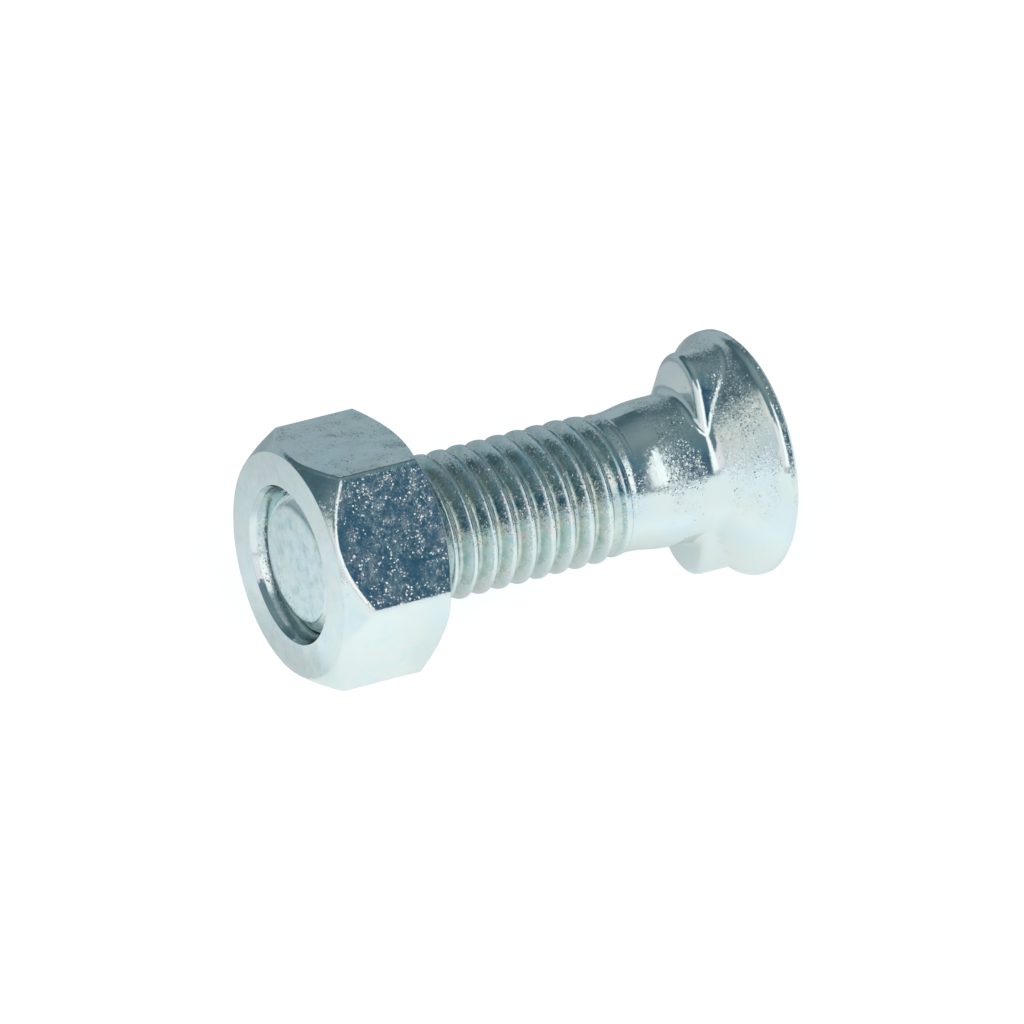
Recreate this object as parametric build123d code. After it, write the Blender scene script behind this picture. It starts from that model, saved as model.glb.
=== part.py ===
from build123d import *
from math import asin, atan, ceil, cos, hypot, radians, sin, sqrt, tan
import os

# Plow bolt with its hex nut, lying on its side. Millimetres, +Z up. The bolt's axis is the X axis,
# the centre of the head's flat face is the origin, and the shank points to -X.
# Each piece is drawn standing on the head's flat face, with z as the distance from that face and
# with its x as the way up, and is laid down at the end.

# Bolt, lengths measured from the head's flat face
bolt_length = 40.0
tip_chamfer = 1.1
tip_round = 1.2
neck_d = 12.1
neck_end = 8.6
runout_d = 11.2
runout_cone_end = 11.2
runout_end = 12.3
runout_round = 12.0

# Thread
thread_d = 11.85
thread_pitch = 1.75
thread_start = 11.72
thread_angle = 60.0
thread_depth_share = 0.6134
crest_share = 0.125
thread_fade = 2.4
crest_fade = 2.8
turns_beyond = 2

# Head
head_d = 20.06
head_land = 1.0
head_angle = 45.0
head_edge_break = 0.3
head_shoulder_round = 0.7
head_root_round = 1.5

# Nib, the oval key under the head; its tips stop short of the head's rim
nib_tip_inset = 0.63
nib_tip_round = 3.5
nib_height = 5.65
nib_front_slope = 8.0
nib_side_inset = 0.3
nib_turn = 4.0
nib_edge_round = 0.7
nib_root_round = 0.7

# Nut
nut_across_flats = 18.7
nut_height = 10.0
nut_overhang = 0.7
nut_corner_round = 0.5
nut_turn = 30.0
nut_front_face_d = 18.34
nut_front_chamfer = 2.0
nut_front_round = 0.5
nut_back_face_d = 17.0
nut_back_chamfer = 1.33
nut_mouth_d = 12.94
nut_lip_height = 0.5
nut_mouth_height = 1.35
thread_clearance = 0.05

# Worked out from the sizes above
thread_r = thread_d / 2
thread_depth = thread_depth_share * thread_pitch
flank_slope = tan(radians(thread_angle / 2))
head_r = head_d / 2
neck_r = neck_d / 2
runout_r = runout_d / 2
nib_length = head_d - 2 * nib_tip_inset
neck_start = head_land + (head_r - neck_r) / tan(radians(head_angle))
nut_front = bolt_length + nut_overhang
nut_back = nut_front - nut_height
bore_r = thread_r + thread_clearance
mouth_r = nut_mouth_d / 2

# Two points closer than this count as one
same_place = 0.01

# Upright to lying: a piece's z runs to -X and its x runs to +Z
lying = Plane(origin=(0, 0, 0), x_dir=(0, 0, 1), z_dir=(-1, 0, 0))


def turned(points, rounds):
    """A solid of revolution about z from (radius, z) points; rounds gives a radius to some of them."""
    with BuildPart() as body:
        with BuildSketch(Plane.XZ) as section:
            with BuildLine():
                Polyline(*points, close=True)
            make_face()
            for corner, radius in rounds.items():
                near = section.vertices().sort_by_distance((*corner, 0))[0]
                fillet(near, radius)
        revolve(axis=Axis.Z)
    return body.part


def runout_rounding():
    """Radius of the round at each end of the run-out cone, held to what the cone and shank have room for."""
    fall = abs(neck_r - runout_r)
    run = runout_cone_end - neck_end
    room = min(hypot(fall, run) / 2, runout_end - runout_cone_end)
    return min(runout_round, room / tan(atan(fall / run) / 2))


def blank():
    """Head, neck and run-out; its last cone lies in the thread and lifts its root to the shank."""
    shoulder = (head_r, head_land)
    root = (neck_r, neck_start)
    neck_corner = (neck_r, neck_end)
    foot = (runout_r, runout_cone_end)
    points = [
        (0, 0),
        (head_r - head_edge_break, 0),
        (head_r, head_edge_break),
        shoulder,
        root,
        neck_corner,
        foot,
        (runout_r, runout_end),
        (thread_r - thread_depth, runout_end + thread_fade),
        (0, runout_end + thread_fade),
    ]
    rounds = {
        shoulder: head_shoulder_round,
        root: head_root_round,
        neck_corner: runout_rounding(),
        foot: runout_rounding(),
    }
    return turned(points, rounds)


def nib():
    """The oval key: two rounded tips with straight sides that run into the neck, and a sloping front."""
    base = head_land / 2
    fall = tan(radians(nib_front_slope))
    top = nib_height + neck_r * fall
    front = turned([(0, base), (0, top), (nib_length, top - nib_length * fall), (nib_length, base)], {})
    waist = neck_r - nib_side_inset
    reach = nib_length / 2 - nib_tip_round
    lean = asin((waist - nib_tip_round) / reach)
    side_end = Vector(waist * sin(lean), waist * cos(lean))
    tip_end = Vector(reach + nib_tip_round * sin(lean), nib_tip_round * cos(lean))
    with BuildPart() as key:
        with BuildSketch(Plane.XY.offset(base)):
            with BuildLine():
                Line(side_end, tip_end)
                ThreePointArc(tip_end, (nib_length / 2, 0), (tip_end.X, -tip_end.Y))
                ThreePointArc(side_end, (0, waist), (-side_end.X, side_end.Y))
                mirror(about=Plane.XZ)
                mirror(about=Plane.YZ)
            make_face()
        extrude(amount=top - base)
    sloped = key.part & front
    return sloped.fillet(nib_edge_round, sloped.faces().filter_by(GeomType.CONE).edges())


def one_turn(radius, height):
    """Right-hand helix of one turn that starts at that height above the thread's start."""
    return Pos(0, 0, thread_start + height) * Edge.make_helix(thread_pitch, thread_pitch, radius)


def endless_thread():
    """Threaded rod, one helical strip a turn for each flank, crest and root; longer than the thread."""
    root_r = thread_r - thread_depth
    crest_edge = crest_share * thread_pitch / 2
    root_edge = crest_edge + thread_depth * flank_slope
    profile = [
        (thread_r, -crest_edge),
        (thread_r, crest_edge),
        (root_r, root_edge),
        (root_r, thread_pitch - root_edge),
        (thread_r, thread_pitch - crest_edge),
    ]
    first = -turns_beyond
    last = ceil((bolt_length - thread_start) / thread_pitch) + turns_beyond

    def strips(turn):
        lines = [one_turn(r, turn * thread_pitch + height) for r, height in profile]
        return [Face.make_surface_from_curves(low, high) for low, high in zip(lines, lines[1:])]

    def end(turn):
        low = turn * thread_pitch - crest_edge
        z = thread_start + low
        axis = Edge.make_line((0, 0, z), (0, 0, z + thread_pitch))
        ramp = Face.make_surface_from_curves(axis, one_turn(thread_r, low))
        corners = [(r, 0, thread_start + turn * thread_pitch + height) for r, height in profile]
        step = Face(Wire.make_polygon([(0, 0, z), *corners, (0, 0, z + thread_pitch)], close=True))
        return [ramp, step]

    faces = end(first) + end(last)
    for turn in range(first, last):
        faces += strips(turn)
    return Solid(Shell(faces))


def thread():
    """The rod cut to the thread's length, with its crests faded into the run-out and its tip bevelled."""
    crest_slope = (thread_r - runout_r) / crest_fade
    outside = thread_r + crest_slope * thread_pitch
    tip = (thread_r - tip_chamfer, bolt_length)
    points = [
        (0, thread_start),
        (runout_r, thread_start),
        (outside, thread_start + crest_fade + thread_pitch),
        (outside, bolt_length - tip_chamfer - outside + thread_r),
        tip,
        (0, bolt_length),
    ]
    envelope = turned(points, {tip: tip_round})
    return endless_thread() & envelope


def headed_blank():
    """Head, nib and neck as one forging; one round runs along the whole inner corner of the nib."""
    forging = blank() + Rot(0, 0, nib_turn) * nib()
    slope = tan(radians(head_angle))

    def on_cone(corner):
        cone_r = head_r - (corner.Z - head_land) * slope
        return abs(cone_r - sqrt(corner.X**2 + corner.Y**2)) < same_place

    def beside_nib(edge):
        curved = edge.geom_type in (GeomType.HYPERBOLA, GeomType.BSPLINE)
        return curved and all(on_cone(corner) for corner in edge.vertices())

    return forging.fillet(nib_root_round, forging.edges().filter_by(beside_nib))


def bolt():
    """One piece: the forging and its rolled thread."""
    return headed_blank() + thread()


def chamfer_cones():
    """The turned outside of the nut: a cone at each end takes the hexagon's corners down to the face."""
    corner_r = nut_across_flats / sqrt(3)
    front_face_r = nut_front_face_d / 2
    back_face_r = nut_back_face_d / 2
    outside = corner_r + nut_corner_round
    front_slope = nut_front_chamfer / (corner_r - front_face_r)
    back_slope = nut_back_chamfer / (corner_r - back_face_r)
    return turned([
        (0, nut_back),
        (back_face_r, nut_back),
        (outside, nut_back + back_slope * (outside - back_face_r)),
        (outside, nut_front - front_slope * (outside - front_face_r)),
        (front_face_r, nut_front),
        (0, nut_front),
    ], {})


def nut_hole():
    """Smooth bore that clears the thread's crests; each mouth has a wide lip and a narrower lead-in."""
    lip_r = (mouth_r + bore_r) / 2
    return turned([
        (0, nut_back),
        (mouth_r, nut_back),
        (lip_r, nut_back + nut_lip_height),
        (bore_r, nut_back + nut_mouth_height),
        (bore_r, nut_front - nut_mouth_height),
        (lip_r, nut_front - nut_lip_height),
        (mouth_r, nut_front),
        (0, nut_front),
    ], {})


def nut():
    """Hexagon nut, flat side up; a round softens the arcs where its front chamfer meets the flats."""
    with BuildPart() as prism:
        with BuildSketch(Plane.XY.offset(nut_back)) as outline:
            RegularPolygon(nut_across_flats / 2, 6, major_radius=False, rotation=nut_turn)
            fillet(outline.vertices(), nut_corner_round)
        extrude(amount=nut_height)
    body = prism.part & chamfer_cones()
    front_chamfer = body.faces().filter_by(GeomType.CONE).sort_by(Axis.Z)[-1]
    arcs = front_chamfer.edges().filter_by(lambda e: e.geom_type in (GeomType.HYPERBOLA, GeomType.BSPLINE))
    return body.fillet(nut_front_round, arcs) - nut_hole()


os.makedirs("parts", exist_ok=True)
export_step(lying.location * bolt(), "parts/bolt.step")
export_step(lying.location * nut(), "parts/nut.step")
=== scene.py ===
"""Zinc-plated plow bolt with its hexagon nut, lying on a pale table."""
import math

import bpy
from mathutils import Matrix, Vector


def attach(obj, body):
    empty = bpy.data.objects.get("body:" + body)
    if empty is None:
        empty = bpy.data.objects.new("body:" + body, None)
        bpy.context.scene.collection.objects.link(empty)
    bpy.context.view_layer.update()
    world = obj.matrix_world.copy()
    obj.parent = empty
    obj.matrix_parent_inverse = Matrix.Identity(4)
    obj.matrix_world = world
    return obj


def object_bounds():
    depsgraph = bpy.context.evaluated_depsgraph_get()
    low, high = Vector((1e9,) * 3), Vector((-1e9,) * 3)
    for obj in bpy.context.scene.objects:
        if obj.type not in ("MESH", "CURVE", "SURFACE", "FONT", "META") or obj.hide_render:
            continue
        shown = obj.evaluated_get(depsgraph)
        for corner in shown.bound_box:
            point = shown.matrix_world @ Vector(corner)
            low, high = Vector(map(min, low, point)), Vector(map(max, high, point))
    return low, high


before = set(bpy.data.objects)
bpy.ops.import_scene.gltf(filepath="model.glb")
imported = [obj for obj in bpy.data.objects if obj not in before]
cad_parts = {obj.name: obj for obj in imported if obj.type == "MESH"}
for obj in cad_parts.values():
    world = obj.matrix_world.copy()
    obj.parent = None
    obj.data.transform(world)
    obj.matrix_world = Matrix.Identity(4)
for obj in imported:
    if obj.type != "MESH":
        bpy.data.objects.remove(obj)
cad_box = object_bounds()

bl_info = {
    "name": "Plow Bolt",
    "version": (1, 0, 0),
    "blender": (4, 5, 0),
    "location": "View3D > Sidebar > Plow Bolt",
    "description": "Finishes and studio for a zinc-plated plow bolt with its nut",
    "category": "Object",
}

MM = 1000.0
THREAD_HALF_ANGLE = math.radians(30)

# Sensor in millimetres; clipping, table and screens in metres
SENSOR_WIDTH = 36.0
CLIP_START = 0.01
CLIP_END = 50.0
TABLE_HALF = 6.0
SCREEN_REACH = 1.7
SCREEN_COLUMNS = 16

# Light screens: name, headings clockwise from +Y and heights above the horizon, in degrees
SCREENS = [
    ("key", (165, 200), (4, 64)),
    ("blush", (200, 241), (2, 36)),
    ("fill", (241, 270), (2, 20)),
    ("warm", (241, 272), (20, 38)),
]

# How bright the metal mirrors the table, by places in metres, as painted shadow: it falls off behind
# the bolt along Y, which points away from the camera, and it is shaded under the bolt from the nut
# to the head
TABLE_BEHIND = (0.0, 0.08)
TABLE_SHADOW_FALLOFF = [(0.0, 0.94), (0.2, 0.80), (0.42, 0.56), (0.55, 0.40), (0.75, 0.26), (1.0, 0.10)]
TABLE_UNDER = (-0.01, 0.02)
TABLE_SHADE = [(0.0, 1.0), (0.2, 0.72), (0.35, 0.56), (0.6, 0.58), (1.0, 1.0)]
BEYOND_NUT = (-0.041, -0.046)
BEYOND_HEAD = (0.0, 0.006)

# Colours of the room by height, where 0 is level or lower and 1 is straight up: a wall behind the
# object, and dark teal all round. The wall ends over the span of Y in WALL_EDGE.
WALL = [
    (0.00, (0.36, 0.45, 0.49)),
    (0.47, (0.39, 0.48, 0.52)),
    (0.56, (0.07, 0.12, 0.145)),
    (0.75, (0.08, 0.14, 0.17)),
    (0.88, (0.17, 0.24, 0.27)),
    (1.00, (0.26, 0.34, 0.36)),
]
AROUND = [
    (0.00, (0.09, 0.16, 0.21)),
    (0.35, (0.030, 0.100, 0.175)),
    (0.47, (0.032, 0.100, 0.170)),
    (0.62, (0.095, 0.20, 0.26)),
    (0.88, (0.17, 0.24, 0.27)),
    (1.00, (0.26, 0.34, 0.36)),
]
WALL_EDGE = (-0.15, 0.25)

# How coarse the zinc is along the bolt, as (x in millimetres, level) stops
BOLT_COARSENESS = [
    (-40.0, 0.4), (-39.8, 1.0), (-12.2, 1.0),  # end face and thread
    (-11.4, 0.1), (-9.6, 0.2),  # run-out cone
    (-9.0, 1.4), (-6.6, 1.4),  # neck
    (-5.8, 0.05), (-4.8, 0.05),  # round in the root of the head
    (-4.2, 1.1), (-1.6, 1.1),  # the head's cone
    (-1.3, 0.1), (-0.75, 0.1),  # the head's shoulder
    (-0.6, 1.6), (-0.1, 1.4), (0.0, 0.4),  # land and flat face
]
NUT_COARSENESS = [(-40.7, 0.2), (-40.4, 0.3), (-39.0, 0.6), (-30.7, 0.8)]

# How much darker the end faces are blotched, and the share of the coarseness on the nut's upper flat
BOLT_DARK_END = 0.9
NUT_DARK_END = 0.3
NUT_UPPER = 0.3

# Radii of the thread's root and crest and the x where it starts, in millimetres
GROOVES = (4.85, 5.9, -12.0)

# Z of the normal over which a face turns into one that looks up, and into one that looks down
LOOKS_UP = (0.90, 0.99)
LOOKS_DOWN = (-0.3, 0.1)
LOWER_SHARE = 0.4

# Colours that the clean zinc is multiplied by, looked up by noise: a faint film everywhere, deeper
# blotches on the thread and the nut, darker blotches on the end face, and painted shade with an
# olive film in the thread's root
FILM = [
    (0.30, (0.97, 1.00, 1.03)),
    (0.45, (1.00, 1.00, 1.00)),
    (0.56, (1.02, 1.00, 0.98)),
    (0.66, (1.02, 0.98, 1.00)),
    (0.76, (0.98, 1.00, 1.00)),
]
BLOTCHES = [
    (0.32, (0.56, 0.80, 0.92)),
    (0.46, (0.90, 0.96, 1.00)),
    (0.58, (1.06, 1.05, 1.04)),
    (0.66, (1.22, 0.90, 0.98)),
    (0.76, (0.90, 1.06, 1.00)),
]
DARK_END_BLOTCHES = [
    (0.32, (0.58, 0.68, 0.72)),
    (0.48, (0.76, 0.86, 0.87)),
    (0.60, (0.86, 0.90, 0.92)),
    (0.72, (0.98, 0.99, 0.99)),
]
# painted shade with an olive tint, laid deepest in the thread's root
ROOT_SHADE_FILM = [
    (0.30, (0.52, 0.60, 0.60)),
    (0.50, (0.74, 0.76, 0.68)),
    (0.64, (0.88, 0.88, 0.80)),
    (0.74, (0.62, 0.50, 0.50)),
]

# Where they set in, in millimetres, and how strong they are: the blotches and the root's painted
# shade over spans of x, the shade also over a length from the thread's start, the darker end by
# depth below its face
BLOTCHED_FROM = (-11.5, -12.5)
BLOTCHED_SHARE = 0.5
ROOT_SHADE_SPAN = (-39.9, -39.0)
ROOT_SHADE_FADE = 1.5
ROOT_SHADE_SHARE = 0.75
DARK_END_DEPTH = (0.05, 0.15)

# Pits: the share of cells without one, the rim in cells from its middle, its shade and colour
UNPITTED = 0.72
PIT_RIM = (0.03, 0.14)
PIT_SHARE = 0.3
PIT_COLOUR = (0.30, 0.36, 0.38)

# Heights of the relief, in metres
WAVE_DEPTH = 3.0e-5
GRAIN_DEPTH = 2.6e-5
PIT_DEPTH = 1.5e-5

# Roughness by noise, as (noise from, noise to, roughness from, roughness to), and the share of the
# mottle that the thread keeps
SOFT_WAVES = (0.35, 0.65, 0.10, 0.17)
MOTTLE = (0.30, 0.75, 0.02, 0.22)
THREAD_MOTTLE = 0.6

# Crystals: the higher the power, the fewer lean far. In clusters they lean more, as (noise from,
# noise to, share from, share to)
LEAN_POWER = 3.0
CLUSTERS = (0.34, 0.66, 0.3, 1.5)

# Places of the colour mixing node's inputs and output
MIX_FACTOR, MIX_FIRST, MIX_SECOND = 0, 6, 7
MIX_RESULT = 2

# Lengths over which the plated thread comes out of the bolt and sinks into it again, in metres
EMERGE = 0.001
SINK = 0.0004
SAME_PLACE = 1e-6


class StudioSettings(bpy.types.PropertyGroup):
    azimuth: bpy.props.FloatProperty(
        name="Azimuth", description="Heading of the view, clockwise from +Y",
        default=math.radians(28.72), subtype="ANGLE",
    )
    elevation: bpy.props.FloatProperty(
        name="Elevation", description="Height of the camera above the horizon",
        default=math.radians(26.375), subtype="ANGLE",
    )
    roll: bpy.props.FloatProperty(
        name="Roll", description="Turn of the camera about its own line of sight",
        default=math.radians(-0.596), subtype="ANGLE",
    )
    distance: bpy.props.FloatProperty(
        name="Distance", description="From the aiming point to the camera",
        default=0.96, min=0.1, unit="LENGTH",
    )
    aim: bpy.props.FloatVectorProperty(
        name="Aim", description="Point that the camera looks at",
        default=(-0.0247, -0.0075, 0.0039), subtype="XYZ_LENGTH",
    )
    lens: bpy.props.FloatProperty(
        name="Lens", description="Focal length on a 36 mm sensor", default=430.4, min=1.0,
    )
    table_colour: bpy.props.FloatVectorProperty(
        name="Table", description="Colour of the table", default=(0.88, 0.86, 0.85),
        subtype="COLOR", min=0, max=1,
    )
    table_glow: bpy.props.FloatProperty(
        name="Table glow", description="Share of white that the table shows by itself",
        default=0.76, min=0, max=1,
    )
    key_colour: bpy.props.FloatVectorProperty(
        name="Key light", description="Colour of the screen to the right of the camera",
        default=(1.0, 1.0, 1.0), subtype="COLOR", min=0, max=1,
    )
    key_level: bpy.props.FloatProperty(
        name="Key level", description="Strength of the screen to the right of the camera",
        default=1.22, min=0,
    )
    fill_colour: bpy.props.FloatVectorProperty(
        name="Fill light", description="Colour of the screen to the left of the camera",
        default=(0.83, 0.96, 1.0), subtype="COLOR", min=0, max=1,
    )
    fill_level: bpy.props.FloatProperty(
        name="Fill level", description="Strength of the screen to the left of the camera",
        default=0.74, min=0,
    )
    blush_colour: bpy.props.FloatVectorProperty(
        name="Blush light", description="Colour of the screen between the key and fill lights",
        default=(1.0, 0.93, 0.98), subtype="COLOR", min=0, max=1,
    )
    blush_level: bpy.props.FloatProperty(
        name="Blush level", description="Strength of the screen between the key and fill lights",
        default=0.98, min=0,
    )
    warm_colour: bpy.props.FloatVectorProperty(
        name="Warm light", description="Colour of the screen above the fill light",
        default=(1.0, 0.98, 0.94), subtype="COLOR", min=0, max=1,
    )
    warm_level: bpy.props.FloatProperty(
        name="Warm level", description="Strength of the screen above the fill light",
        default=0.88, min=0,
    )


class ZincSettings(bpy.types.PropertyGroup):
    colour: bpy.props.FloatVectorProperty(
        name="Zinc", description="Reflectance of the clean plating",
        default=(0.72, 0.81, 0.80), subtype="COLOR", min=0, max=1,
    )
    wave_size: bpy.props.FloatProperty(
        name="Wave size", description="Spacing of the shallow waves in the forged surface",
        default=0.0016, min=0.0001, unit="LENGTH", precision=5,
    )
    grain_size: bpy.props.FloatProperty(
        name="Grain size", description="Spacing of the crystals that sparkle",
        default=0.00011, min=0.00002, unit="LENGTH", precision=5,
    )
    sparkle: bpy.props.FloatProperty(
        name="Sparkle", description="How far the crystals lean out of the surface",
        default=0.7, min=0, max=3,
    )
    dent_size: bpy.props.FloatProperty(
        name="Dent size", description="Spacing of the broad shallow dents",
        default=0.0036, min=0.0005, unit="LENGTH", precision=4,
    )
    dent_depth: bpy.props.FloatProperty(
        name="Dent depth", description="Height of the broad shallow dents",
        default=0.00014, min=0.0, unit="LENGTH", precision=5,
    )
    pit_size: bpy.props.FloatProperty(
        name="Pit size", description="Spacing of the pits in the plating",
        default=0.0006, min=0.00005, unit="LENGTH", precision=5,
    )
    edge_round: bpy.props.FloatProperty(
        name="Edge round", description="Radius by which the plating softens every edge",
        default=0.00012, min=0.0, unit="LENGTH", precision=5,
    )


class ThreadSettings(bpy.types.PropertyGroup):
    pitch: bpy.props.FloatProperty(
        name="Pitch", description="Travel of the thread in one turn",
        default=0.00175, min=0.0005, unit="LENGTH", precision=5,
    )
    crest_radius: bpy.props.FloatProperty(
        name="Crest radius", description="From the axis to the crest, before plating",
        default=0.005925, unit="LENGTH", precision=5,
    )
    depth: bpy.props.FloatProperty(
        name="Depth", description="From the crest to the root",
        default=0.0010735, unit="LENGTH", precision=5,
    )
    crest_width: bpy.props.FloatProperty(
        name="Crest width", description="Flat on top of the thread",
        default=0.00021875, unit="LENGTH", precision=5,
    )
    rounding: bpy.props.FloatProperty(
        name="Rounding", description="How softly the flanks run into crest and root",
        default=0.00014, unit="LENGTH", precision=5,
    )
    plating: bpy.props.FloatProperty(
        name="Plating", description="Thickness of the zinc on the thread",
        default=0.00003, unit="LENGTH", precision=6,
    )
    seam_depth: bpy.props.FloatProperty(
        name="Seam depth", description="Depth of the groove that rolling leaves along the crest",
        default=0.00002, unit="LENGTH", precision=6,
    )
    seam_width: bpy.props.FloatProperty(
        name="Seam width", description="Half the width of the groove along the crest",
        default=0.00007, unit="LENGTH", precision=6,
    )
    first_crest: bpy.props.FloatProperty(
        name="First crest", description="From the head's flat face to the crest's start",
        default=0.01172, unit="LENGTH", precision=5,
    )
    start: bpy.props.FloatProperty(
        name="Start", description="From the head's flat face to where the plated thread dips into the bolt",
        default=0.0112, unit="LENGTH", precision=5,
    )
    end: bpy.props.FloatProperty(
        name="End", description="From the head's flat face to the far end of the plated thread",
        default=0.03955, unit="LENGTH", precision=5,
    )
    runout_radius: bpy.props.FloatProperty(
        name="Run-out radius", description="From the axis to the shank where the thread starts",
        default=0.0056, unit="LENGTH", precision=5,
    )
    runout_end: bpy.props.FloatProperty(
        name="Run-out end", description="From the head's flat face to where the root starts to sink",
        default=0.0123, unit="LENGTH", precision=5,
    )
    root_fade: bpy.props.FloatProperty(
        name="Root fade", description="Length over which the root sinks to its full depth",
        default=0.0024, unit="LENGTH", precision=5,
    )
    crest_fade: bpy.props.FloatProperty(
        name="Crest fade", description="Length over which the crest rises to its full height",
        default=0.0028, unit="LENGTH", precision=5,
    )
    tip_radius: bpy.props.FloatProperty(
        name="Tip radius", description="From the axis to the bevel's edge at the bolt's end",
        default=0.004825, unit="LENGTH", precision=5,
    )
    bolt_length: bpy.props.FloatProperty(
        name="Bolt length", description="From the head's flat face to the bolt's end",
        default=0.04, unit="LENGTH", precision=5,
    )
    rows_per_turn: bpy.props.IntProperty(
        name="Rows per turn", description="Steps across the profile of one turn", default=24, min=8,
    )
    columns: bpy.props.IntProperty(
        name="Columns", description="Steps round the bolt", default=96, min=24,
    )


def add(tree, kind, **values):
    """A node with its properties and its named inputs set."""
    node = tree.nodes.new(kind)
    for key, value in values.items():
        if hasattr(node, key):
            setattr(node, key, value)
        else:
            node.inputs[key.replace("_", " ")].default_value = value
    return node


def link(tree, source, target):
    tree.links.new(source, target)


def feed(tree, value, target):
    """Link a socket to the target input, or set the input to a plain value."""
    if isinstance(value, bpy.types.NodeSocket):
        link(tree, value, target)
    else:
        target.default_value = value


def maths(tree, operation, *terms):
    """Result socket of an operation on sockets and plain numbers."""
    node = add(tree, "ShaderNodeMath", operation=operation)
    for place, term in enumerate(terms):
        feed(tree, term, node.inputs[place])
    return node.outputs[0]


def span(tree, source, low, high, to_low=0.0, to_high=1.0):
    """Source moved from one range to another and held inside it."""
    node = add(
        tree, "ShaderNodeMapRange", interpolation_type="SMOOTHSTEP",
        From_Min=low, From_Max=high, To_Min=to_low, To_Max=to_high,
    )
    link(tree, source, node.inputs["Value"])
    return node.outputs["Result"]


def along(tree, source, low, high):
    """Source moved evenly from low..high to 0..1 and held inside it."""
    node = add(tree, "ShaderNodeMapRange", From_Min=low, From_Max=high)
    link(tree, source, node.inputs["Value"])
    return node.outputs["Result"]


def ramp(tree, source, stops):
    """Colour looked up along a list of (place, colour or grey level) stops."""
    node = add(tree, "ShaderNodeValToRGB")
    elements = node.color_ramp.elements
    while len(elements) < len(stops):
        elements.new(0.5)
    for element, (place, colour) in zip(elements, stops):
        element.position = place
        if isinstance(colour, (int, float)):
            colour = (colour, colour, colour)
        element.color = (*colour, 1)
    link(tree, source, node.inputs["Fac"])
    return node.outputs["Color"]


def blend(tree, factor, first, second, way="MIX"):
    """Two colours mixed; each one and the factor may be a socket or a plain value."""
    node = add(tree, "ShaderNodeMix", data_type="RGBA", blend_type=way)
    feed(tree, factor, node.inputs[MIX_FACTOR])
    for place, colour in ((MIX_FIRST, first), (MIX_SECOND, second)):
        if not isinstance(colour, bpy.types.NodeSocket):
            colour = (*colour, 1)
        feed(tree, colour, node.inputs[place])
    return node.outputs[MIX_RESULT]


def noise(tree, place, spacing, detail=2.0, roughness=0.5):
    """Noise with features about one spacing apart, read at a place in millimetres."""
    node = add(
        tree, "ShaderNodeTexNoise", Scale=1 / (spacing * MM), Detail=detail, Roughness=roughness
    )
    link(tree, place, node.inputs["Vector"])
    return node.outputs["Fac"]


def bump(tree, height, normal, depth, strength=1.0):
    """Normal after a height field of that depth in metres."""
    node = add(tree, "ShaderNodeBump", Distance=depth)
    link(tree, height, node.inputs["Height"])
    feed(tree, strength, node.inputs["Strength"])
    link(tree, normal, node.inputs["Normal"])
    return node.outputs["Normal"]


def coarse_level(tree, along_bolt, normal, stops, upper):
    """How coarse the zinc is: looked up along the bolt, less on faces that look up or down."""
    reach = [x for x, _ in stops]
    low, high = min(reach), max(reach)
    levels = [((x - low) / (high - low), level) for x, level in stops]
    coarse = ramp(tree, along(tree, along_bolt, low, high), levels)
    facing = add(tree, "ShaderNodeSeparateXYZ")
    link(tree, normal, facing.inputs[0])
    up = facing.outputs["Z"]
    coarse = maths(tree, "MULTIPLY", coarse, span(tree, up, *LOOKS_UP, 1.0, upper))
    return maths(tree, "MULTIPLY", coarse, span(tree, up, *LOOKS_DOWN, LOWER_SHARE, 1.0))


def pits(tree, place, spacing):
    """1 in the middle of a pit and 0 outside it; only some of the cells have one."""
    cells = add(tree, "ShaderNodeTexVoronoi", Scale=1 / (spacing * MM))
    link(tree, place, cells.inputs["Vector"])
    chance = add(tree, "ShaderNodeSeparateColor")
    link(tree, cells.outputs["Color"], chance.inputs[0])
    pitted = maths(tree, "GREATER_THAN", chance.outputs[0], UNPITTED)
    return maths(tree, "MULTIPLY", span(tree, cells.outputs["Distance"], *PIT_RIM, 1.0, 0.0), pitted)


def plated_colour(tree, place, along_bolt, settings, coarse, hollow):
    """Zinc under a faint film of colours, with blotches where it is coarse and darker pits."""
    film = ramp(tree, noise(tree, place, settings.wave_size * 3, detail=1.0), FILM)
    colour = blend(tree, 1.0, tuple(settings.colour), film, "MULTIPLY")
    blotches = ramp(tree, noise(tree, place, settings.wave_size * 0.7, detail=3.0), BLOTCHES)
    share = span(tree, along_bolt, *BLOTCHED_FROM, 0.0, BLOTCHED_SHARE)
    colour = blend(tree, maths(tree, "MULTIPLY", coarse, share), colour, blotches, "MULTIPLY")
    return blend(tree, maths(tree, "MULTIPLY", hollow, PIT_SHARE), colour, PIT_COLOUR)


def darkened_end_colour(tree, place, along_bolt, settings, colour, end, end_darkening):
    """Darker blotches on the end face at that x."""
    blotches = noise(tree, place, settings.wave_size * 0.6, detail=5.0, roughness=0.6)
    full, none = DARK_END_DEPTH
    share = maths(tree, "MULTIPLY", span(tree, along_bolt, end + none, end + full), end_darkening)
    return blend(tree, share, colour, ramp(tree, blotches, DARK_END_BLOTCHES), "MULTIPLY")


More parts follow.
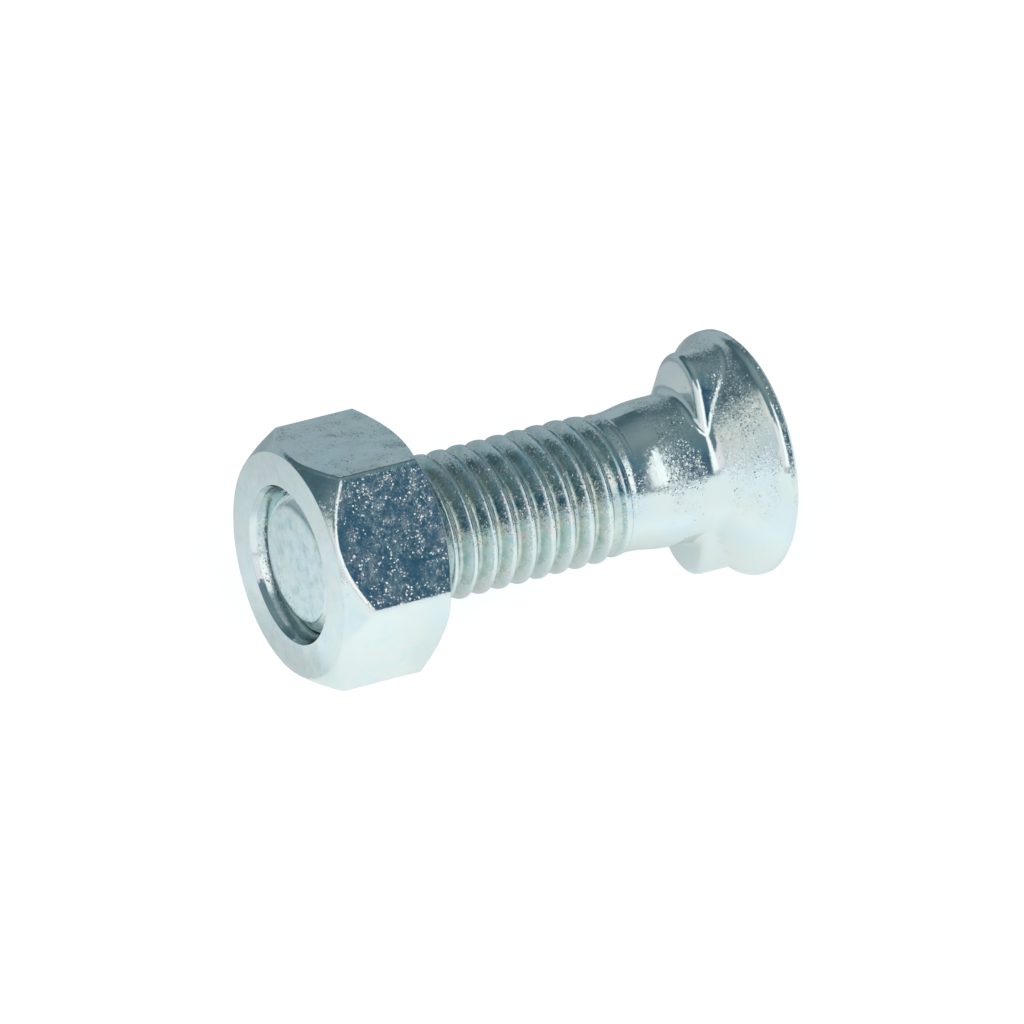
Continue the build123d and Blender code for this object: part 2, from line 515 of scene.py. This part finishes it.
def root_shaded_colour(tree, place, axes, settings, colour, grooves):
    """Painted shade with an olive film in the root of the thread."""
    root, crest, start = grooves
    squares = [maths(tree, "MULTIPLY", axes[side], axes[side]) for side in ("Y", "Z")]
    from_axis = maths(tree, "SQRT", maths(tree, "ADD", *squares))
    # painted shade: the colour darkens towards the thread's root
    deep = span(tree, from_axis, root, crest, 1.0, 0.0)
    deep = maths(tree, "MULTIPLY", deep, span(tree, axes["X"], start, start - ROOT_SHADE_FADE))
    deep = maths(tree, "MULTIPLY", deep, span(tree, axes["X"], *ROOT_SHADE_SPAN))
    root_shade = ramp(tree, noise(tree, place, settings.wave_size * 0.5, detail=3.0), ROOT_SHADE_FILM)
    return blend(tree, maths(tree, "MULTIPLY", deep, ROOT_SHADE_SHARE), colour, root_shade, "MULTIPLY")


def gloss(tree, place, along_bolt, settings, coarse, wave, grooves):
    """Roughness: it follows the waves, and coarse zinc is mottled, the thread less so."""
    mottle = noise(tree, place, settings.wave_size * 0.35, detail=5.0, roughness=0.6)
    mottle = span(tree, mottle, *MOTTLE)
    mottle = maths(tree, "MULTIPLY", maths(tree, "MINIMUM", coarse, 1.0), mottle)
    if grooves:
        start = grooves[-1]
        in_thread = span(tree, along_bolt, start, start - 1.0, 1.0, THREAD_MOTTLE)
        mottle = maths(tree, "MULTIPLY", mottle, in_thread)
    return maths(tree, "ADD", span(tree, wave, *SOFT_WAVES), mottle)


def relief(tree, place, settings, coarse, wave, hollow):
    """Normal of softened edges with dents, waves, grain and pits."""
    rounded = add(tree, "ShaderNodeBevel", samples=4, Radius=settings.edge_round)
    dents = noise(tree, place, settings.dent_size, detail=1.0)
    grain = noise(tree, place, settings.grain_size * 4, detail=3.0, roughness=0.65)
    normal = bump(tree, dents, rounded.outputs["Normal"], settings.dent_depth)
    normal = bump(tree, wave, normal, WAVE_DEPTH)
    normal = bump(tree, grain, normal, GRAIN_DEPTH, coarse)
    return bump(tree, maths(tree, "MULTIPLY", hollow, -1.0), normal, PIT_DEPTH)


def sparkling(tree, place, settings, coarse, normal):
    """The normal leaned at random from crystal to crystal; those that lean far lie in clusters."""
    crystals = add(tree, "ShaderNodeTexVoronoi", Scale=1 / (settings.grain_size * MM))
    link(tree, place, crystals.inputs["Vector"])
    lean = add(tree, "ShaderNodeVectorMath", operation="SUBTRACT")
    link(tree, crystals.outputs["Color"], lean.inputs[0])
    lean.inputs[1].default_value = (0.5, 0.5, 0.5)
    luck = add(tree, "ShaderNodeTexWhiteNoise")
    link(tree, crystals.outputs["Position"], luck.inputs["Vector"])
    rare = maths(tree, "POWER", luck.outputs["Value"], LEAN_POWER)
    clusters = span(tree, noise(tree, place, settings.wave_size * 0.7), *CLUSTERS)
    share = maths(tree, "MULTIPLY", maths(tree, "MULTIPLY", rare, coarse), clusters)
    tilt = add(tree, "ShaderNodeVectorMath", operation="SCALE")
    link(tree, lean.outputs[0], tilt.inputs[0])
    link(tree, maths(tree, "MULTIPLY", share, settings.sparkle), tilt.inputs["Scale"])
    leaning = add(tree, "ShaderNodeVectorMath", operation="ADD")
    link(tree, normal, leaning.inputs[0])
    link(tree, tilt.outputs[0], leaning.inputs[1])
    unit = add(tree, "ShaderNodeVectorMath", operation="NORMALIZE")
    link(tree, leaning.outputs[0], unit.inputs[0])
    return unit.outputs[0]


def zinc_material(name, settings, coarseness, upper=1.0, end_darkening=0.0, grooves=None):
    """Bright bluish zinc: dents, waves, sparkling grain, pits and a faint film of colours.

    coarseness is a list of (x in millimetres, level) stops along the bolt's axis, and upper is the
    share of it on a face that looks straight up. end_darkening is how much darker and blotched
    the first stop's end face is. grooves gives the radii of a thread's root and crest and the x where
    it starts: painted shade with an olive film lies in its root.
    """
    material = bpy.data.materials.new(name)
    material.use_nodes = True
    tree = material.node_tree
    shader = tree.nodes["Principled BSDF"]
    shader.inputs["Metallic"].default_value = 1.0

    coordinates = add(tree, "ShaderNodeTexCoord")
    scaled = add(tree, "ShaderNodeVectorMath", operation="SCALE", Scale=MM)
    link(tree, coordinates.outputs["Object"], scaled.inputs[0])
    place = scaled.outputs[0]
    separated = add(tree, "ShaderNodeSeparateXYZ")
    link(tree, place, separated.inputs[0])
    axes = separated.outputs
    coarse = coarse_level(tree, axes["X"], coordinates.outputs["Normal"], coarseness, upper)
    wave = noise(tree, place, settings.wave_size)
    hollow = pits(tree, place, settings.pit_size)

    colour = plated_colour(tree, place, axes["X"], settings, coarse, hollow)
    # darker blotches on the end face
    if end_darkening:
        end = min(x for x, _ in coarseness)
        colour = darkened_end_colour(tree, place, axes["X"], settings, colour, end, end_darkening)
    # painted shade with an olive film in the thread's root
    if grooves:
        colour = root_shaded_colour(tree, place, axes, settings, colour, grooves)
    link(tree, colour, shader.inputs["Base Color"])
    rough = gloss(tree, place, axes["X"], settings, coarse, wave, grooves)
    link(tree, rough, shader.inputs["Roughness"])
    normal = relief(tree, place, settings, coarse, wave, hollow)
    link(tree, sparkling(tree, place, settings, coarse, normal), shader.inputs["Normal"])
    return material


class PLOWBOLT_OT_bolt(bpy.types.Operator):
    """Plate the bolt"""

    bl_idname = "plowbolt.bolt"
    bl_label = "Plate the Bolt"

    def execute(self, context):
        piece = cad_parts["bolt"]
        piece.data.materials.clear()
        zinc = zinc_material(
            "bolt_zinc", context.scene.zinc_settings, BOLT_COARSENESS, end_darkening=BOLT_DARK_END, grooves=GROOVES
        )
        piece.data.materials.append(zinc)
        return {"FINISHED"}


def named_sockets(tree, sizes):
    """The tree's inputs and output; gives the sockets that carry the inputs into the tree."""
    for name in sizes:
        kind = "NodeSocketInt" if name in ("rows", "columns") else "NodeSocketFloat"
        tree.interface.new_socket(name=name, in_out="INPUT", socket_type=kind)
    tree.interface.new_socket(name="zinc", in_out="INPUT", socket_type="NodeSocketMaterial")
    tree.interface.new_socket(name="Geometry", in_out="OUTPUT", socket_type="NodeSocketGeometry")
    return add(tree, "NodeGroupInput").outputs


def rolled_profile(tree, given, from_first, turn):
    """Radius of the endless thread: straight flanks, rounded crest and root, and the seam."""
    pitch = given["pitch"]
    phase = maths(tree, "SUBTRACT", maths(tree, "DIVIDE", from_first, pitch), turn)
    aside = maths(tree, "ABSOLUTE", maths(tree, "SUBTRACT", phase, maths(tree, "ROUND", phase)))
    aside = maths(tree, "MULTIPLY", aside, pitch)
    flank = maths(tree, "SUBTRACT", aside, maths(tree, "MULTIPLY", given["crest_width"], 0.5))
    flank = maths(tree, "DIVIDE", flank, math.tan(THREAD_HALF_ANGLE))
    flank = maths(tree, "SUBTRACT", given["crest_radius"], flank)
    profile = maths(tree, "SMOOTH_MIN", given["crest_radius"], flank, given["rounding"])
    profile = maths(tree, "SMOOTH_MAX", profile, given["root_radius"], given["rounding"])
    share = maths(tree, "SUBTRACT", 1.0, maths(tree, "DIVIDE", aside, given["seam_width"]))
    seam = maths(tree, "MULTIPLY", maths(tree, "MAXIMUM", share, 0.0), given["seam_depth"])
    return maths(tree, "SUBTRACT", profile, seam)


def ended_profile(tree, given, distance, from_first, profile):
    """The profile with its crests faded at the run-out and bevelled at the tip, over the shank."""
    root = given["root_radius"]
    rise = maths(tree, "SUBTRACT", given["crest_radius"], given["runout_radius"])
    rising = maths(tree, "MULTIPLY", from_first, maths(tree, "DIVIDE", rise, given["crest_fade"]))
    rising = maths(tree, "ADD", given["runout_radius"], rising)
    bevel = maths(tree, "SUBTRACT", given["bolt_length"], distance)
    bevel = maths(tree, "ADD", given["tip_radius"], bevel)
    profile = maths(tree, "MINIMUM", profile, maths(tree, "MINIMUM", rising, bevel))

    fall = maths(tree, "SUBTRACT", given["runout_radius"], root)
    slope = maths(tree, "DIVIDE", fall, given["root_fade"])
    beyond = maths(tree, "SUBTRACT", distance, given["runout_end"])
    sinking = maths(tree, "MULTIPLY", maths(tree, "MAXIMUM", beyond, 0.0), slope)
    shank = maths(tree, "MAXIMUM", maths(tree, "SUBTRACT", given["runout_radius"], sinking), root)
    shank = maths(tree, "MINIMUM", shank, bevel)
    return maths(tree, "SMOOTH_MAX", profile, shank, given["rounding"])


def plated_radius(tree, given, distance, radius):
    """The radius with the zinc on it; at both ends the zinc dips into the bolt."""
    from_start = maths(tree, "SUBTRACT", distance, given["start"])
    to_end = maths(tree, "SUBTRACT", given["end"], distance)
    emerging = span(tree, from_start, 0.0, EMERGE, -1.0, 1.0)
    leaving = span(tree, to_end, 0.0, SINK, -1.0, 1.0)
    cover = maths(tree, "MULTIPLY", maths(tree, "MINIMUM", emerging, leaving), given["plating"])
    return maths(tree, "ADD", radius, cover)


def thread_tree(sizes):
    """Node tree of the plated thread: a grid wound on the helix and lifted to the rounded profile.

    Every size is a named input. Distances along the bolt are counted from the head's flat face.
    """
    tree = bpy.data.node_groups.new("plated_thread", "GeometryNodeTree")
    given = named_sockets(tree, sizes)
    grid = add(tree, "GeometryNodeMeshGrid", Size_X=1.0, Size_Y=1.0)
    link(tree, given["rows"], grid.inputs["Vertices X"])
    link(tree, given["columns"], grid.inputs["Vertices Y"])
    axes = add(tree, "ShaderNodeSeparateXYZ")
    link(tree, add(tree, "GeometryNodeInputPosition").outputs[0], axes.inputs[0])
    forward = maths(tree, "ADD", axes.outputs["X"], 0.5)
    turn = maths(tree, "ADD", axes.outputs["Y"], 0.5)

    length = maths(tree, "SUBTRACT", given["end"], given["start"])
    travel = maths(tree, "MULTIPLY", forward, maths(tree, "ADD", length, given["pitch"]))
    travel = maths(tree, "SUBTRACT", travel, maths(tree, "MULTIPLY", turn, given["pitch"]))
    distance = maths(tree, "ADD", given["start"], travel)
    distance = maths(tree, "MINIMUM", maths(tree, "MAXIMUM", distance, given["start"]), given["end"])
    from_first = maths(tree, "SUBTRACT", distance, given["first_crest"])
    profile = rolled_profile(tree, given, from_first, turn)
    radius = ended_profile(tree, given, distance, from_first, profile)
    radius = plated_radius(tree, given, distance, radius)

    angle = maths(tree, "MULTIPLY", turn, math.tau)
    place = add(tree, "ShaderNodeCombineXYZ")
    link(tree, maths(tree, "MULTIPLY", distance, -1.0), place.inputs["X"])
    link(tree, maths(tree, "MULTIPLY", radius, maths(tree, "SINE", angle)), place.inputs["Y"])
    link(tree, maths(tree, "MULTIPLY", radius, maths(tree, "COSINE", angle)), place.inputs["Z"])
    wound = add(tree, "GeometryNodeSetPosition")
    link(tree, grid.outputs["Mesh"], wound.inputs["Geometry"])
    link(tree, place.outputs[0], wound.inputs["Position"])
    closed = add(tree, "GeometryNodeMergeByDistance", Distance=SAME_PLACE)
    link(tree, wound.outputs[0], closed.inputs["Geometry"])
    outward = add(tree, "GeometryNodeFlipFaces")
    link(tree, closed.outputs[0], outward.inputs["Mesh"])
    smooth = add(tree, "GeometryNodeSetShadeSmooth")
    link(tree, outward.outputs[0], smooth.inputs["Geometry"])
    real = add(tree, "GeometryNodeRealizeInstances")
    link(tree, smooth.outputs[0], real.inputs["Geometry"])
    dressed = add(tree, "GeometryNodeSetMaterial")
    link(tree, real.outputs[0], dressed.inputs["Geometry"])
    link(tree, given["zinc"], dressed.inputs["Material"])
    link(tree, dressed.outputs[0], add(tree, "NodeGroupOutput").inputs["Geometry"])
    return tree


def grown(name, tree, values):
    """Plain mesh object from a node tree, with the tree's inputs set by name."""
    seed = bpy.data.objects.new(name + "_seed", bpy.data.meshes.new(name + "_seed"))
    bpy.context.scene.collection.objects.link(seed)
    modifier = seed.modifiers.new(name, "NODES")
    modifier.node_group = tree
    sockets = {
        item.name: item.identifier for item in tree.interface.items_tree if item.in_out == "INPUT"
    }
    for key, value in values.items():
        modifier[sockets[key]] = value
    evaluated = seed.evaluated_get(bpy.context.evaluated_depsgraph_get())
    mesh = bpy.data.meshes.new_from_object(evaluated)
    mesh.name = name
    if mesh.materials[0] is None:
        mesh.materials.pop(index=0)
    bpy.data.objects.remove(seed)
    piece = bpy.data.objects.new(name, mesh)
    bpy.context.scene.collection.objects.link(piece)
    return piece


class PLOWBOLT_OT_thread(bpy.types.Operator):
    """Plate the rolled thread: rounded crests and roots, and the seam that rolling leaves"""

    bl_idname = "plowbolt.thread"
    bl_label = "Plate the Thread"

    def execute(self, context):
        thread = context.scene.thread_settings
        length = thread.end - thread.start + thread.pitch
        values = {
            "rows": round(length / thread.pitch * thread.rows_per_turn),
            "columns": thread.columns + 1,
            "root_radius": thread.crest_radius - thread.depth,
        }
        for key in (
            "pitch", "crest_radius", "crest_width", "rounding", "plating", "seam_depth", "seam_width",
            "first_crest", "start", "end", "runout_radius", "runout_end", "root_fade", "crest_fade",
            "tip_radius", "bolt_length",
        ):
            values[key] = getattr(thread, key)
        tree = thread_tree(values)
        values["zinc"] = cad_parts["bolt"].data.materials[0]
        piece = grown("thread_plating", tree, values)
        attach(piece, "bolt")
        return {"FINISHED"}


class PLOWBOLT_OT_nut(bpy.types.Operator):
    """Plate the nut"""

    bl_idname = "plowbolt.nut"
    bl_label = "Plate the Nut"

    def execute(self, context):
        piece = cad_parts["nut"]
        piece.data.materials.clear()
        zinc = zinc_material(
            "nut_zinc", context.scene.zinc_settings, NUT_COARSENESS, upper=NUT_UPPER, end_darkening=NUT_DARK_END
        )
        piece.data.materials.append(zinc)
        return {"FINISHED"}


def glowing(name, colour, level):
    """Plain light-giving material."""
    material = bpy.data.materials.new(name)
    material.use_nodes = True
    tree = material.node_tree
    tree.nodes.clear()
    glow = add(tree, "ShaderNodeEmission", Color=(*colour, 1), Strength=level)
    link(tree, glow.outputs[0], add(tree, "ShaderNodeOutputMaterial").inputs["Surface"])
    return material


def stage_piece(name, corners, faces, material):
    """Mesh object of the studio, kept apart from the model."""
    mesh = bpy.data.meshes.new(name)
    mesh.from_pydata(corners, [], faces)
    mesh.materials.append(material)
    piece = bpy.data.objects.new(name, mesh)
    bpy.context.scene.collection.objects.link(piece)
    return piece


def light_screen(name, headings, heights, colour, level):
    """Upright curved screen between two headings and two heights, in degrees, that only lights."""
    corners, faces = [], []
    for column in range(SCREEN_COLUMNS + 1):
        heading = math.radians(headings[0] + (headings[1] - headings[0]) * column / SCREEN_COLUMNS)
        for height in heights:
            corners.append((
                SCREEN_REACH * math.sin(heading), SCREEN_REACH * math.cos(heading),
                SCREEN_REACH * math.tan(math.radians(height)),
            ))
    for column in range(SCREEN_COLUMNS):
        first = 2 * column
        faces.append((first, first + 2, first + 3, first + 1))
    screen = stage_piece(name, corners, faces, glowing(name, colour, level))
    screen.visible_camera = False


def table_material(studio):
    """Pale table, white to the camera; the metal mirrors painted shadow on it behind and under the bolt."""
    material = bpy.data.materials.new("table")
    material.use_nodes = True
    tree = material.node_tree
    tree.nodes.clear()
    surface = add(tree, "ShaderNodeBsdfDiffuse", Color=(*studio.table_colour, 1))
    path = add(tree, "ShaderNodeLightPath").outputs
    coordinates = add(tree, "ShaderNodeTexCoord")
    separated = add(tree, "ShaderNodeSeparateXYZ")
    link(tree, coordinates.outputs["Object"], separated.inputs[0])
    axes = separated.outputs
    # painted shadow: mirror rays see the table dimmer behind the bolt and under it, up to beyond the nut
    # and the head
    lit = ramp(tree, along(tree, axes["Y"], *TABLE_BEHIND), TABLE_SHADOW_FALLOFF)
    under = ramp(tree, along(tree, axes["Y"], *TABLE_UNDER), TABLE_SHADE)
    beside = maths(
        tree, "ADD", span(tree, axes["X"], *BEYOND_NUT), span(tree, axes["X"], *BEYOND_HEAD)
    )
    lit = maths(tree, "MULTIPLY", lit, maths(tree, "MAXIMUM", under, beside))
    mirrored = maths(tree, "MAXIMUM", path["Is Glossy Ray"], path["Is Transmission Ray"])
    shown = maths(tree, "MULTIPLY", mirrored, lit)
    seen = maths(tree, "MAXIMUM", path["Is Camera Ray"], shown)
    glow = add(tree, "ShaderNodeEmission")
    link(tree, maths(tree, "MULTIPLY", seen, studio.table_glow), glow.inputs["Strength"])
    both = add(tree, "ShaderNodeAddShader")
    link(tree, surface.outputs[0], both.inputs[0])
    link(tree, glow.outputs[0], both.inputs[1])
    link(tree, both.outputs[0], add(tree, "ShaderNodeOutputMaterial").inputs["Surface"])
    return material


def room():
    """Dim room: a grey-blue wall low behind the object and dark teal all round, paler overhead."""
    world = bpy.data.worlds.new("room")
    world.use_nodes = True
    tree = world.node_tree
    coordinates = add(tree, "ShaderNodeTexCoord")
    axes = add(tree, "ShaderNodeSeparateXYZ")
    link(tree, coordinates.outputs["Generated"], axes.inputs[0])
    wall = ramp(tree, axes.outputs["Z"], WALL)
    around = ramp(tree, axes.outputs["Z"], AROUND)
    behind = span(tree, axes.outputs["Y"], *WALL_EDGE)
    link(tree, blend(tree, behind, around, wall), tree.nodes["Background"].inputs["Color"])
    return world


def solved_camera(studio):
    """The photograph's camera: its heading, height, roll, distance and lens."""
    data = bpy.data.cameras.new("camera")
    data.lens = studio.lens
    data.sensor_width = SENSOR_WIDTH
    data.clip_start = CLIP_START
    data.clip_end = CLIP_END
    camera = bpy.data.objects.new("camera", data)
    bpy.context.scene.collection.objects.link(camera)
    flat = math.cos(studio.elevation)
    view = Vector((
        math.sin(studio.azimuth) * flat, math.cos(studio.azimuth) * flat, -math.sin(studio.elevation)
    ))
    place = Matrix.Translation(Vector(studio.aim) - view * studio.distance)
    spin = Matrix.Rotation(studio.roll, 4, "Z")
    camera.matrix_world = place @ view.to_track_quat("-Z", "Y").to_matrix().to_4x4() @ spin
    return camera


class PLOWBOLT_OT_studio(bpy.types.Operator):
    """Set the table, the lights, the room and the camera"""

    bl_idname = "plowbolt.studio"
    bl_label = "Build the Studio"

    def execute(self, context):
        scene = context.scene
        studio = scene.studio_settings
        floor = cad_box[0].z
        corners = [
            (x * TABLE_HALF, y * TABLE_HALF, floor) for x, y in ((-1, -1), (1, -1), (1, 1), (-1, 1))
        ]
        stage_piece("table", corners, [(0, 1, 2, 3)], table_material(studio))
        for name, headings, heights in SCREENS:
            colour = getattr(studio, name + "_colour")
            level = getattr(studio, name + "_level")
            light_screen(name + "_light", headings, heights, colour, level)
        scene.world = room()
        scene.camera = solved_camera(studio)
        scene.view_settings.view_transform = "Standard"
        return {"FINISHED"}


class PLOWBOLT_PT_panel(bpy.types.Panel):
    bl_label = "Plow Bolt"
    bl_idname = "PLOWBOLT_PT_panel"
    bl_space_type = "VIEW_3D"
    bl_region_type = "UI"
    bl_category = "Plow Bolt"

    def draw(self, context):
        layout = self.layout
        for name in ("zinc_settings", "thread_settings", "studio_settings"):
            group = getattr(context.scene, name)
            for key in group.__annotations__:
                layout.prop(group, key)
        for operator in OPERATORS:
            layout.operator(operator.bl_idname)


OPERATORS = (PLOWBOLT_OT_bolt, PLOWBOLT_OT_thread, PLOWBOLT_OT_nut, PLOWBOLT_OT_studio)
CLASSES = (StudioSettings, ZincSettings, ThreadSettings, *OPERATORS, PLOWBOLT_PT_panel)


def register():
    for cls in CLASSES:
        bpy.utils.register_class(cls)
    bpy.types.Scene.studio_settings = bpy.props.PointerProperty(type=StudioSettings)
    bpy.types.Scene.zinc_settings = bpy.props.PointerProperty(type=ZincSettings)
    bpy.types.Scene.thread_settings = bpy.props.PointerProperty(type=ThreadSettings)


def unregister():
    del bpy.types.Scene.thread_settings
    del bpy.types.Scene.zinc_settings
    del bpy.types.Scene.studio_settings
    for cls in reversed(CLASSES):
        bpy.utils.unregister_class(cls)


def main():
    register()
    bpy.ops.plowbolt.bolt()
    bpy.ops.plowbolt.thread()
    bpy.ops.plowbolt.nut()
    bpy.ops.plowbolt.studio()


if __name__ == "__main__":
    main()
